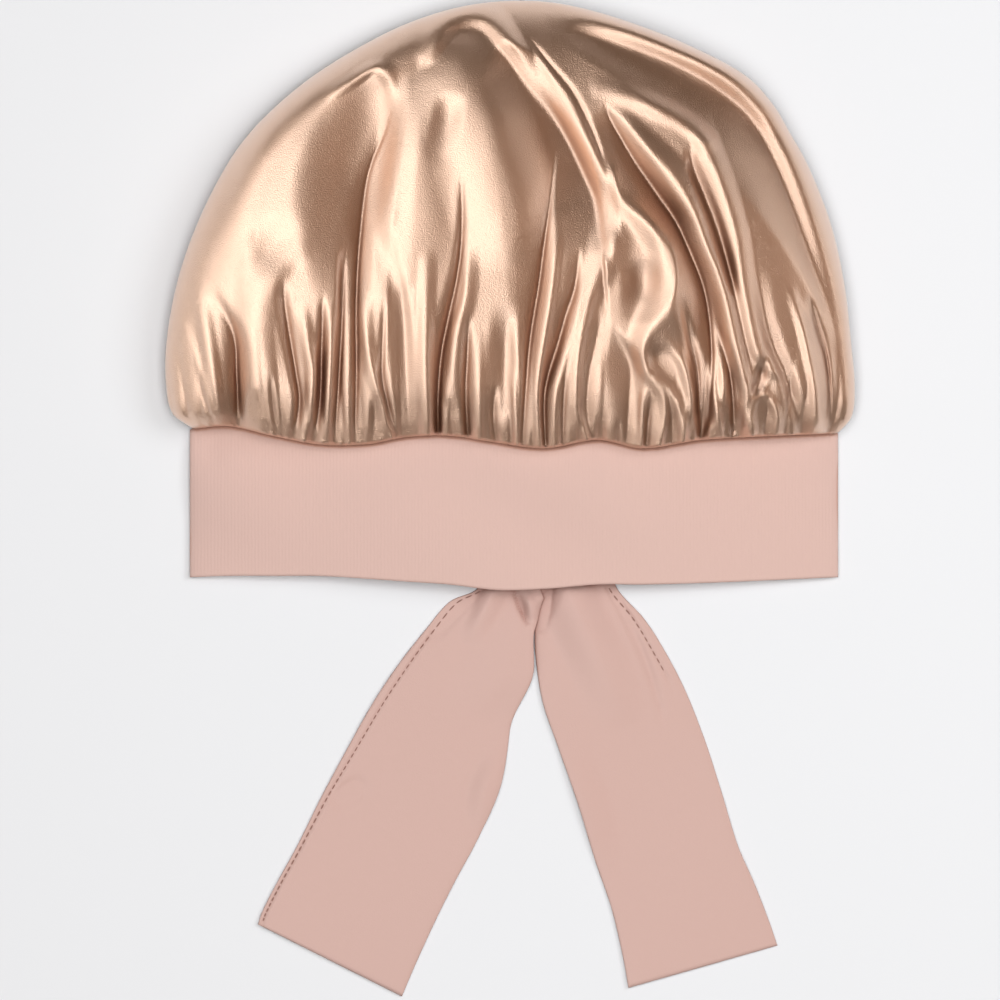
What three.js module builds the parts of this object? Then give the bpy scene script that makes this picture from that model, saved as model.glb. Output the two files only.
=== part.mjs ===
// Sleep bonnet laid out flat: a gathered satin crown on a wide jersey band, with two flat tie ends.
// Millimetres, +Z up. It lies on Z = 0 with its face up, the crown towards +Y and the ties towards -Y.
// While the pieces are made, Y = 0 is the seam between crown and band, and X = 0 is the band's middle.
import * as THREE from "three";

// Driving sizes
const CROWN_WIDTH = 288.5; // across the crown at its widest
const CROWN_RISE = 183; // from the seam to the top of the crown
const CROWN_LOFT = 45; // how high the crown stands off the surface
const CROWN_EDGE = 10; // height of the crown's outermost edge, half way round its rolled rim
const CROWN_WALL = 1.2; // satin with its gathers pressed together
const BAND_WIDTH = 272; // across the flattened band
const BAND_HEIGHT = 59; // from the seam to the mouth
const BAND_LOFT = 17; // thickness of the flattened band at its middle
const BAND_EDGE = 6; // thickness of the flattened band at its two folded ends
const BAND_WALL = 1.6; // two layers of jersey
const TIE_LENGTH = 192; // each tie, from its sewn end to its free end
const TIE_WIDTH = 65; // each tie at its widest
const TIE_WALL = 1.8; // two layers of satin turned out
const TIE_OVERLAP = 20; // how far the sewn ends reach under the band
const TUCK = 5; // how far the crown's neck reaches into the band
const NECK_EASE = 0.6; // air between the neck and the band round it
const LIP = 1.2; // how far the neck stands out of the band before the crown swells
const FOLD_DEPTH = 7; // depth of a strong fold of the crown
const FOLD_REACH = 11; // how far a strong fold's side reaches
const CLEARANCE = 0.3; // air between two pieces that touch

// How finely the surfaces are cut up
const CROWN_COLUMNS = 72;
const CROWN_UNDER_COLUMNS = 12;
const CROWN_STATIONS = 25;
const BAND_COLUMNS = 28;
const BAND_STATIONS = 5;
const TIE_COLUMNS = 6;
const TIE_STATIONS = 20;

// Outline of the crown. rise: share of CROWN_RISE; left, right: shares of half CROWN_WIDTH;
// loft: share of CROWN_LOFT.
const CROWN_SECTIONS = [
  { rise: 0.0, left: -0.93, right: 0.94, loft: 0.36 },
  { rise: 0.04, left: -0.99, right: 0.98, loft: 0.52 },
  { rise: 0.11, left: -1.01, right: 0.99, loft: 0.7 },
  { rise: 0.21, left: -1.01, right: 0.98, loft: 0.86 },
  { rise: 0.35, left: -0.98, right: 0.96, loft: 0.96 },
  { rise: 0.49, left: -0.92, right: 0.92, loft: 1.0 },
  { rise: 0.63, left: -0.83, right: 0.85, loft: 0.97 },
  { rise: 0.7, left: -0.765, right: 0.8, loft: 0.93 },
  { rise: 0.76, left: -0.69, right: 0.755, loft: 0.87 },
  { rise: 0.83, left: -0.58, right: 0.67, loft: 0.78 },
  { rise: 0.9, left: -0.435, right: 0.5, loft: 0.66 },
  { rise: 0.96, left: -0.27, right: 0.3, loft: 0.5 },
  { rise: 1.0, left: 0.02, right: 0.02, loft: 0.24 },
];

// Upper and lower edge of the band. at: share of half BAND_WIDTH; seam, mouth: shares of BAND_HEIGHT
// by which that edge stands off its straight line.
const BAND_EDGES = [
  { at: -1.0, seam: 0.06, mouth: 0.01 },
  { at: -0.88, seam: 0.08, mouth: 0.02 },
  { at: -0.74, seam: 0.01, mouth: 0.02 },
  { at: -0.6, seam: -0.05, mouth: 0.02 },
  { at: -0.45, seam: -0.05, mouth: 0.0 },
  { at: -0.33, seam: 0.0, mouth: -0.02 },
  { at: -0.2, seam: 0.01, mouth: -0.04 },
  { at: -0.05, seam: -0.04, mouth: -0.08 },
  { at: 0.1, seam: -0.08, mouth: -0.07 },
  { at: 0.26, seam: -0.02, mouth: -0.04 },
  { at: 0.4, seam: -0.08, mouth: -0.04 },
  { at: 0.58, seam: -0.02, mouth: -0.03 },
  { at: 0.8, seam: 0.01, mouth: -0.01 },
  { at: 1.0, seam: 0.03, mouth: 0.01 },
];

// Folds of the crown's upper layer. foot, middle, tip: places on it as shares of half CROWN_WIDTH and of
// CROWN_RISE; depth: share of FOLD_DEPTH, minus where it sinks; left, right: how far its two sides reach,
// shares of FOLD_REACH.
const CROWN_FOLDS = [
  { foot: [-0.81, 0], middle: [-0.82, 0.11], tip: [-0.89, 0.28], depth: -0.8, left: 1.2, right: 0.5 },
  { foot: [-0.72, 0], middle: [-0.72, 0.25], tip: [-0.78, 0.45], depth: 0.5, left: 1.0, right: 1.0 },
  { foot: [-0.63, 0], middle: [-0.65, 0.17], tip: [-0.68, 0.35], depth: -0.7, left: 0.6, right: 0.8 },
  { foot: [-0.57, 0], middle: [-0.56, 0.2], tip: [-0.55, 0.42], depth: -0.6, left: 0.6, right: 0.7 },
  { foot: [-0.46, 0], middle: [-0.45, 0.38], tip: [-0.38, 0.82], depth: -1.0, left: 1.8, right: 0.5 },
  { foot: [-0.51, 0.34], middle: [-0.52, 0.59], tip: [-0.39, 0.82], depth: -0.9, left: 1.8, right: 1.8 },
  { foot: [-0.34, 0], middle: [-0.38, 0.12], tip: [-0.38, 0.3], depth: -0.5, left: 0.5, right: 0.6 },
  { foot: [-0.25, 0.2], middle: [-0.26, 0.55], tip: [-0.22, 0.88], depth: 0.5, left: 2.0, right: 1.8 },
  { foot: [-0.22, 0], middle: [-0.2, 0.25], tip: [-0.15, 0.6], depth: -0.9, left: 1.6, right: 0.5 },
  { foot: [-0.12, 0], middle: [-0.13, 0.11], tip: [-0.12, 0.26], depth: -0.5, left: 0.5, right: 0.5 },
  { foot: [-0.03, 0.15], middle: [0.02, 0.52], tip: [-0.12, 0.92], depth: -1.1, left: 1.8, right: 2.2 },
  { foot: [0.03, 0], middle: [0.04, 0.25], tip: [0.11, 0.63], depth: -0.7, left: 1.4, right: 0.5 },
  { foot: [0.09, 0], middle: [0.12, 0.22], tip: [0.19, 0.4], depth: -0.8, left: 1.0, right: 0.5 },
  { foot: [0.22, 0], middle: [0.2, 0.2], tip: [0.27, 0.39], depth: 0.5, left: 0.5, right: 0.8 },
  { foot: [0.3, 0.2], middle: [0.35, 0.35], tip: [0.3, 0.52], depth: 0.6, left: 1.6, right: 1.4 },
  { foot: [0.5, 0], middle: [0.43, 0.12], tip: [0.37, 0.22], depth: -0.6, left: 0.7, right: 0.8 },
  { foot: [0.38, 0.2], middle: [0.48, 0.35], tip: [0.36, 0.5], depth: -0.6, left: 0.8, right: 0.9 },
  { foot: [0.38, 0.48], middle: [0.24, 0.67], tip: [0.04, 0.92], depth: -0.6, left: 0.9, right: 1.0 },
  { foot: [0.53, 0], middle: [0.5, 0.29], tip: [0.37, 0.56], depth: -0.9, left: 1.0, right: 1.3 },
  { foot: [0.65, 0], middle: [0.61, 0.31], tip: [0.4, 0.64], depth: 0.7, left: 0.9, right: 1.0 },
  { foot: [0.71, 0.14], middle: [0.64, 0.4], tip: [0.51, 0.64], depth: -0.5, left: 0.8, right: 0.8 },
  { foot: [0.73, 0.18], middle: [0.66, 0.46], tip: [0.31, 0.77], depth: 0.6, left: 1.0, right: 1.1 },
  { foot: [0.8, 0], middle: [0.8, 0.17], tip: [0.74, 0.34], depth: -0.7, left: 0.8, right: 0.8 },
  { foot: [0.91, 0], middle: [0.9, 0.31], tip: [0.65, 0.7], depth: -0.8, left: 0.9, right: 0.8 },
  { foot: [0.75, 0.6], middle: [0.54, 0.78], tip: [0.2, 0.91], depth: -0.8, left: 2.0, right: 1.6 },
  { foot: [0.93, 0.02], middle: [0.89, 0.45], tip: [0.51, 0.88], depth: 0.6, left: 0.8, right: 0.8 },
];

// The ties' own lines. root: where the tie's middle crosses the band's mouth, share of half BAND_WIDTH;
// heading: the way it runs, in degrees from -Y, plus towards +X. Of its sections, down is a share of the
// length in sight, or from -1 to 0 of the sewn end; side (where the middle lies off the heading), width
// and skew (how much further down the +X edge lies) are shares of TIE_WIDTH.
const TIES = {
  tie_left: {
    root: -0.028,
    heading: -25.5,
    sections: [
      { down: -1.0, side: -0.06, width: 0.24, skew: -0.1 },
      { down: 0.0, side: -0.01, width: 0.31, skew: -0.12 },
      { down: 0.06, side: -0.06, width: 0.46, skew: -0.13 },
      { down: 0.12, side: -0.08, width: 0.54, skew: -0.25 },
      { down: 0.21, side: -0.06, width: 0.7, skew: -0.31 },
      { down: 0.33, side: -0.03, width: 0.85, skew: -0.29 },
      { down: 0.48, side: 0.02, width: 1.0, skew: -0.25 },
      { down: 0.61, side: 0.02, width: 1.03, skew: -0.21 },
      { down: 0.74, side: 0.01, width: 1.02, skew: -0.23 },
      { down: 0.84, side: 0.0, width: 1.03, skew: -0.22 },
      { down: 0.94, side: 0.0, width: 1.04, skew: -0.12 },
      { down: 1.0, side: 0.01, width: 1.04, skew: 0.02 },
    ],
  },
  tie_right: {
    root: 0.189,
    heading: 17,
    sections: [
      { down: -1.0, side: 0.02, width: 0.32, skew: 0.08 },
      { down: 0.0, side: 0.01, width: 0.48, skew: 0.13 },
      { down: 0.09, side: 0.02, width: 0.68, skew: 0.17 },
      { down: 0.16, side: 0.02, width: 0.79, skew: 0.16 },
      { down: 0.28, side: 0.03, width: 0.9, skew: 0.18 },
      { down: 0.41, side: 0.05, width: 0.92, skew: 0.23 },
      { down: 0.55, side: 0.06, width: 0.91, skew: 0.2 },
      { down: 0.69, side: 0.06, width: 0.91, skew: 0.17 },
      { down: 0.8, side: 0.08, width: 0.93, skew: 0.11 },
      { down: 0.91, side: 0.08, width: 0.97, skew: 0.07 },
      { down: 0.98, side: 0.07, width: 1.0, skew: 0.02 },
    ],
  },
};

const smooth = (t) => {
  const c = Math.min(1, Math.max(0, t));
  return c * c * (3 - 2 * c);
};

// Value of one column of a table at a place along another, on a smooth curve through the rows.
function column(rows, along, name, at) {
  let i = rows.findIndex((row) => row[along] >= at);
  if (i < 0) i = rows.length - 1;
  i = Math.max(1, i);
  const [a, b] = [rows[i - 1], rows[i]];
  const [before, after] = [rows[Math.max(0, i - 2)], rows[Math.min(rows.length - 1, i + 1)]];
  const span = b[along] - a[along];
  const t = Math.min(1, Math.max(0, (at - a[along]) / span));
  const slopeA = ((b[name] - before[name]) / (b[along] - before[along])) * span;
  const slopeB = ((after[name] - a[name]) / (after[along] - a[along])) * span;
  const [t2, t3] = [t * t, t * t * t];
  return (
    (2 * t3 - 3 * t2 + 1) * a[name] +
    (t3 - 2 * t2 + t) * slopeA +
    (3 * t2 - 2 * t3) * b[name] +
    (t3 - t2) * slopeB
  );
}

// A mesh from closed loops of equal length, each loop joined to the next; cyclic joins last to first too.
function shell(loops, cyclic) {
  const size = loops[0].length;
  const positions = loops.flat().flatMap((p) => [p.x, p.y, p.z]);
  const index = [];
  const count = cyclic ? loops.length : loops.length - 1;
  for (let s = 0; s < count; s++) {
    const next = (s + 1) % loops.length;
    for (let c = 0; c < size; c++) {
      const d = (c + 1) % size;
      const [a, b] = [s * size + c, s * size + d];
      const [e, f] = [next * size + c, next * size + d];
      index.push(a, b, f, a, f, e);
    }
  }
  const geometry = new THREE.BufferGeometry();
  geometry.setAttribute("position", new THREE.Float32BufferAttribute(positions, 3));
  geometry.setIndex(index);
  return geometry;
}

// A closed loop moved inwards by its wall, along normals taken from its neighbours in the stack of loops.
function innerLoops(loops, wall) {
  return loops.map((loop, s) =>
    loop.map((point, c) => {
      const round = loop.length;
      const onward = loop[(c + 1) % round].clone().sub(loop[(c + round - 1) % round]);
      const [below, above] = [loops[Math.max(0, s - 1)], loops[Math.min(loops.length - 1, s + 1)]];
      const along = above[c].clone().sub(below[c]);
      const outward = onward.cross(along).normalize();
      return point.clone().addScaledVector(outward, -wall);
    }),
  );
}

// Band

const HALF_BAND = BAND_WIDTH / 2;
const seamAt = (x) => BAND_HEIGHT * column(BAND_EDGES, "at", "seam", x / HALF_BAND);
const mouthAt = (x) => BAND_HEIGHT * (column(BAND_EDGES, "at", "mouth", x / HALF_BAND) - 1);

const FOLD_SQUARENESS = 16; // how square the folded ends of the flattened band are
const LENS_POWER = 1.3; // how soon its thickness falls off towards them
const ARCH_MARGIN = 5; // how far the arch over the sewn ties reaches past them before it comes down
const ARCH_FADE = 18; // how far it takes to come down

// How far x lies outside the stretch of the mouth that the sewn ties take up.
function outsideTies(x) {
  const [first, ...others] = Object.values(TIES).map(({ root, sections }) => {
    const half = (column(sections, "down", "width", 0) * TIE_WIDTH) / 2 + ARCH_MARGIN;
    return [root * HALF_BAND - half, root * HALF_BAND + half];
  });
  const low = Math.min(first[0], ...others.map(([from]) => from));
  const high = Math.max(first[1], ...others.map(([, to]) => to));
  return Math.max(low - x, x - high, 0);
}

// Lowest and highest point of the flattened band's outside at x, in a share of its height below the seam.
function bandSides(x, below) {
  const t = Math.min(1, Math.abs(x) / HALF_BAND);
  const fold = (BAND_EDGE / 2) * Math.sqrt(1 - t ** FOLD_SQUARENESS);
  const lens = (BAND_LOFT - BAND_EDGE) * (1 - t * t) ** LENS_POWER;
  const arch = TIE_WALL + 2 * CLEARANCE;
  const overTies = arch * (1 - smooth(outsideTies(x) / ARCH_FADE));
  const lift = overTies * smooth((below * BAND_HEIGHT) / (BAND_HEIGHT - TIE_OVERLAP));
  return { low: BAND_EDGE / 2 - fold + lift, high: BAND_EDGE / 2 + fold + lens };
}

// Places across a closed loop, close together at its ends: from -1 to 1 and back.
function across(columns, under) {
  const top = Array.from({ length: columns + 1 }, (_, i) => ({
    t: -Math.cos((Math.PI * i) / columns),
    upper: true,
  }));
  const bottom = Array.from({ length: under - 1 }, (_, i) => ({
    t: Math.cos((Math.PI * (i + 1)) / under),
    upper: false,
  }));
  return [...top, ...bottom];
}

function bandGeometry() {
  const places = across(BAND_COLUMNS, BAND_COLUMNS);
  const outer = [];
  for (let s = 0; s < BAND_STATIONS; s++) {
    const below = 1 - s / (BAND_STATIONS - 1);
    outer.push(
      places.map(({ t, upper }) => {
        const x = HALF_BAND * t;
        const y = seamAt(x) * (1 - below) + mouthAt(x) * below;
        const { low, high } = bandSides(x, below);
        return new THREE.Vector3(x, y, upper ? high : low);
      }),
    );
  }
  return shell([...outer, ...innerLoops(outer, BAND_WALL).reverse()], true);
}

// Crown

const HALF_CROWN = CROWN_WIDTH / 2;
const CURVE_STEPS = 14; // straight steps that a fold's line is measured along
const TIP_FADE = 0.35; // share of a fold's line over which it dies out
const RIM_SHARE = 0.07; // share of a section's half width over which the underside rolls up
const POLE_SHARE = 0.04; // share of the rise over which the far end rolls up
const SECTION_POWER = 2.8; // how flat a section's middle is
const SECTION_ROUNDNESS = 0.62; // how steep its sides are
const SEAM_WAVE_FADE = 8; // how soon the seam's wave dies out up the crown
const FIRST_TURN = 0.02; // turn of the first loop above the neck, share of the quarter turn to the far end
const LAST_TURN = 0.995; // turn of the last loop before the point at the far end
const FOLD_START = 0.17; // share of a section's rise below which its folds fade out
const FOLD_FULL = 0.5; // share of it above which they are whole
const NECK_SHARE = 0.9; // half width of the neck, share of half BAND_WIDTH
const NECK_SQUARENESS = 12; // how square the neck's two ends are

const foldLines = CROWN_FOLDS.map((fold) => {
  const [foot, middle, tip] = [fold.foot, fold.middle, fold.tip].map(
    ([u, v]) => new THREE.Vector2(u * HALF_CROWN, v * CROWN_RISE),
  );
  const bend = middle.clone().multiplyScalar(2).addScaledVector(foot, -0.5).addScaledVector(tip, -0.5);
  return { ...fold, points: new THREE.QuadraticBezierCurve(foot, bend, tip).getPoints(CURVE_STEPS) };
});

// How far one fold lifts or sinks the cloth at (x, y).
function foldHeight(fold, x, y) {
  let [nearest, share, side] = [Infinity, 0, 1];
  for (let i = 0; i < CURVE_STEPS; i++) {
    const [a, b] = [fold.points[i], fold.points[i + 1]];
    const [dx, dy] = [b.x - a.x, b.y - a.y];
    const t = Math.min(1, Math.max(0, ((x - a.x) * dx + (y - a.y) * dy) / (dx * dx + dy * dy)));
    const distance = Math.hypot(x - a.x - t * dx, y - a.y - t * dy);
    if (distance < nearest) {
      nearest = distance;
      share = (i + t) / CURVE_STEPS;
      side = dx * (y - a.y) - dy * (x - a.x);
    }
  }
  const reach = FOLD_REACH * (side > 0 ? fold.left : fold.right);
  if (nearest >= reach) return 0;
  const sewn = fold.foot[1] === 0;
  const along = (sewn ? 1 : smooth(share / TIP_FADE)) * smooth((1 - share) / TIP_FADE);
  return FOLD_DEPTH * fold.depth * along * smooth(1 - nearest / reach);
}

// The neck fits inside the band's upper edge.
function neckLoop(places, y) {
  const half = NECK_SHARE * HALF_BAND;
  return places.map(({ t, upper }) => {
    const x = half * t;
    const { low, high } = bandSides(x, Math.max(0, -y / BAND_HEIGHT));
    const [bottom, top] = [low + BAND_WALL + NECK_EASE, high - BAND_WALL - NECK_EASE];
    const middle = (bottom + top) / 2;
    const round = Math.sqrt(Math.max(0, 1 - Math.abs(t) ** NECK_SQUARENESS));
    const z = middle + ((upper ? top : bottom) - middle) * round;
    return new THREE.Vector3(x, seamAt(x) + y, z);
  });
}

function crownLoop(places, rise) {
  const angle = Math.asin(Math.min(1, rise));
  const rows = CROWN_SECTIONS.map((row) => ({ ...row, angle: Math.asin(row.rise) }));
  const [left, right, loft] = ["left", "right", "loft"].map((name) => column(rows, "angle", name, angle));
  const highest = Math.max(CROWN_EDGE, loft * CROWN_LOFT);
  const wave = (1 - rise) ** SEAM_WAVE_FADE;
  const poleTurn = Math.max(0, (rise - 1 + POLE_SHARE) / POLE_SHARE);
  const floor = CROWN_EDGE * (1 - Math.sqrt(1 - Math.min(1, poleTurn) ** 2));
  return places.map(({ t, upper }) => {
    const x = HALF_CROWN * (left + ((right - left) * (t + 1)) / 2);
    const y = rise * CROWN_RISE + wave * seamAt(x);
    const off = Math.abs(t);
    if (!upper) {
      const turn = Math.max(0, (off - 1 + RIM_SHARE) / RIM_SHARE);
      return new THREE.Vector3(x, y, Math.max(floor, CROWN_EDGE * (1 - Math.sqrt(1 - turn ** 2))));
    }
    const dome = (1 - off ** SECTION_POWER) ** SECTION_ROUNDNESS;
    const folds = foldLines.reduce((sum, fold) => sum + foldHeight(fold, x, y), 0);
    const inside = smooth((dome - FOLD_START) / (FOLD_FULL - FOLD_START));
    return new THREE.Vector3(x, y, CROWN_EDGE + (highest - CROWN_EDGE) * dome + folds * inside);
  });
}

function crownGeometry() {
  const places = across(CROWN_COLUMNS, CROWN_UNDER_COLUMNS);
  const outer = [neckLoop(places, -TUCK), neckLoop(places, LIP)];
  for (let s = 0; s <= CROWN_STATIONS; s++) {
    const turn = FIRST_TURN + ((LAST_TURN - FIRST_TURN) * s) / CROWN_STATIONS;
    outer.push(crownLoop(places, Math.sin((Math.PI / 2) * turn)));
  }
  outer.push(crownLoop(places, 1));
  const inner = innerLoops(outer, CROWN_WALL);
  const pole = inner.at(-1)[0].clone().setY(CROWN_RISE - CROWN_WALL).setZ(CROWN_EDGE);
  inner[inner.length - 1] = inner.at(-1).map(() => pole.clone());
  return shell([...outer, ...inner.reverse()], true);
}

// Ties

function tieGeometry({ root, heading, sections }) {
  const turn = THREE.MathUtils.degToRad(heading);
  const down = new THREE.Vector2(Math.sin(turn), -Math.cos(turn));
  const sideways = new THREE.Vector2(Math.cos(turn), Math.sin(turn));
  const start = new THREE.Vector2(root * HALF_BAND, mouthAt(root * HALF_BAND));
  const [first, last] = [sections[0].down, sections.at(-1).down];
  const places = across(TIE_COLUMNS, TIE_COLUMNS);
  const loops = [];
  for (let s = 0; s <= TIE_STATIONS; s++) {
    const share = s ? (last * (s - 1)) / (TIE_STATIONS - 1) : first;
    const [side, width, skew] = ["side", "width", "skew"].map(
      (name) => TIE_WIDTH * column(sections, "down", name, share),
    );
    loops.push(
      places.map(({ t, upper }) => {
        const along = share * (share < 0 ? TIE_OVERLAP : TIE_LENGTH - TIE_OVERLAP);
        const flat = start
          .clone()
          .addScaledVector(down, along + (skew * t) / 2)
          .addScaledVector(sideways, side + (width * t) / 2);
        const edge = Math.abs(t) === 1;
        return new THREE.Vector3(flat.x, flat.y, edge ? TIE_WALL / 2 : upper ? TIE_WALL : 0);
      }),
    );
  }
  const cap = (loop) => {
    const middle = loop.reduce((sum, p) => sum.add(p), new THREE.Vector3()).divideScalar(loop.length);
    return loop.map(() => middle.clone());
  };
  return shell([cap(loops[0]), ...loops, cap(loops.at(-1))].reverse(), false);
}

// Assembly

const satin = { color: 0xd2ac93, roughness: 0.38, metalness: 0.1 };
const jersey = { color: 0xd8b4a8, roughness: 0.85, metalness: 0 };
const tieSatin = { color: 0xdab5a9, roughness: 0.6, metalness: 0 };

function piece(name, geometry, look) {
  geometry.computeVertexNormals();
  const mesh = new THREE.Mesh(geometry, new THREE.MeshStandardMaterial(look));
  mesh.name = name;
  return mesh;
}

const bonnet = new THREE.Group();
bonnet.name = "sleep_bonnet";
bonnet.add(piece("crown", crownGeometry(), satin));
bonnet.add(piece("band", bandGeometry(), jersey));
for (const [name, line] of Object.entries(TIES)) bonnet.add(piece(name, tieGeometry(line), tieSatin));

// The origin is the middle of what the bonnet covers, on the surface it lies on.
const box = new THREE.Box3().setFromObject(bonnet);
bonnet.position.set(-(box.min.x + box.max.x) / 2, -(box.min.y + box.max.y) / 2, -box.min.z);

export default bonnet;
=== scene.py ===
"""Sleep bonnet laid out flat: a gathered satin crown on a wide jersey band, with two flat tie ends.

Lengths are millimetres until a mesh is made. Shapes are first worked out with Y = 0 on the seam between
crown and band and X = 0 on the band's middle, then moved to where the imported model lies.
"""

import math
from collections import namedtuple

import bpy
import numpy as np
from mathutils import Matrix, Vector

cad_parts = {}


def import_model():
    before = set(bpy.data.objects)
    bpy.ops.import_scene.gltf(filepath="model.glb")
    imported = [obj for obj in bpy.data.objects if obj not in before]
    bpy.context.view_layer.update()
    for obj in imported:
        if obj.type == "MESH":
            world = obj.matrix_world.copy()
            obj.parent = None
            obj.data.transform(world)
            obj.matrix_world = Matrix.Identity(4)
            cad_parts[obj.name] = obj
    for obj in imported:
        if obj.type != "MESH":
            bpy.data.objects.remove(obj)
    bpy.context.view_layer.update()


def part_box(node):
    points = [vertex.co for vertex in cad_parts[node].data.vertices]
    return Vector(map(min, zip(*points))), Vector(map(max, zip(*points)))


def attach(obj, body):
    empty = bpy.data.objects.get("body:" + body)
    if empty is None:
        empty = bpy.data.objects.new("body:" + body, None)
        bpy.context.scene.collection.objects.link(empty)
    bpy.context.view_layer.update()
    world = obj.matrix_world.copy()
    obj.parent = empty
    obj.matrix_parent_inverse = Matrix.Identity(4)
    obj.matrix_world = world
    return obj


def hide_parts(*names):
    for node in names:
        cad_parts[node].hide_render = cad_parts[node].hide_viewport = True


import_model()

# Driving sizes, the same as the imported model's
CROWN_WIDTH = 288.5  # across the crown at its widest
CROWN_RISE = 183  # from the seam to the top of the crown
CROWN_LOFT = 45  # how high the crown stands off the surface
CROWN_EDGE = 10  # height of the crown's outermost edge, half way round its rolled rim
CROWN_WALL = 1.2  # satin with its gathers pressed together
BAND_WIDTH = 272  # across the flattened band
BAND_HEIGHT = 59  # from the seam to the mouth
BAND_LOFT = 17  # thickness of the flattened band at its middle
BAND_EDGE = 6  # thickness of the flattened band at its two folded ends
BAND_WALL = 1.6  # two layers of jersey
TIE_LENGTH = 192  # each tie, from its sewn end to its free end
TIE_WIDTH = 65  # each tie at its widest
TIE_WALL = 1.8  # two layers of satin turned out
TIE_OVERLAP = 20  # how far the sewn ends reach under the band
TUCK = 5  # how far the crown's neck reaches into the band
FOLD_DEPTH = 6  # depth of a strong fold of the crown
FOLD_REACH = 11  # how far a strong fold's side reaches
SEED = 7

# How finely the surfaces are cut up
CROWN_ROWS = 150
CROWN_COLUMNS = 530
CROWN_UNDER_COLUMNS = 60
COLUMNS_TO_RIM = 0.22  # how far the crown's columns are drawn towards its rim, from 0 for not at all
ROWS_TO_SEAM = 1.25  # how far its rows are drawn towards the seam, from 1 for not at all
LAST_ROW = 0.996  # how near to the far end they go
LINING_STEP = 4  # one row of the inner side for so many of the outer side
LINING_COLUMN_STEP = 5  # and one column for so many
LINING_SHORT = 3  # rows of the inner side that are left out at the far end
BAND_COLUMNS = 260
TIE_ROWS = 170
TIE_COLUMNS = 150
# The band's rows, as shares of its height down from the seam, close together at its two edges
BAND_ROWS = [0.0, 0.004, 0.01, 0.02, 0.035, *np.linspace(0.06, 0.96, 22), 0.98, 0.99, 1.0]

HALF_CROWN = CROWN_WIDTH / 2
HALF_BAND = BAND_WIDTH / 2

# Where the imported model's pieces lie fixes the way from the seam's frame to the row's frame
band_low, band_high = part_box("band")
_, crown_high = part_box("crown")
ORIGIN_X = 500 * (band_low.x + band_high.x)
ORIGIN_Y = 1000 * crown_high.y - CROWN_RISE

# Outline of the crown. rise: share of CROWN_RISE; left, right: shares of half CROWN_WIDTH;
# loft: share of CROWN_LOFT.
Section = namedtuple("Section", "rise left right loft")
CROWN_SECTIONS = [Section(*row) for row in [
    (0.0, -0.93, 0.94, 0.56),
    (0.04, -0.99, 0.98, 0.67),
    (0.11, -1.01, 0.99, 0.8),
    (0.21, -1.01, 0.98, 0.89),
    (0.35, -0.98, 0.96, 0.97),
    (0.49, -0.92, 0.92, 1.0),
    (0.63, -0.83, 0.85, 0.99),
    (0.7, -0.765, 0.8, 0.97),
    (0.76, -0.69, 0.755, 0.94),
    (0.83, -0.58, 0.67, 0.88),
    (0.9, -0.435, 0.5, 0.78),
    (0.96, -0.27, 0.3, 0.6),
    (1.0, 0.02, 0.02, 0.24),
]]

# Upper and lower edge of the band. at: share of half BAND_WIDTH; seam, mouth: shares of BAND_HEIGHT
# by which that edge stands off its straight line.
Edge = namedtuple("Edge", "at seam mouth")
BAND_EDGES = [Edge(*row) for row in [
    (-1.0, 0.06, 0.01),
    (-0.88, 0.08, 0.02),
    (-0.74, 0.01, 0.02),
    (-0.6, -0.05, 0.02),
    (-0.45, -0.05, 0.0),
    (-0.33, 0.0, -0.02),
    (-0.2, 0.01, -0.04),
    (-0.05, -0.04, -0.08),
    (0.1, -0.08, -0.07),
    (0.26, -0.02, -0.04),
    (0.4, -0.08, -0.04),
    (0.58, -0.02, -0.03),
    (0.8, 0.01, -0.01),
    (1.0, 0.03, 0.01),
]]

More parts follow.
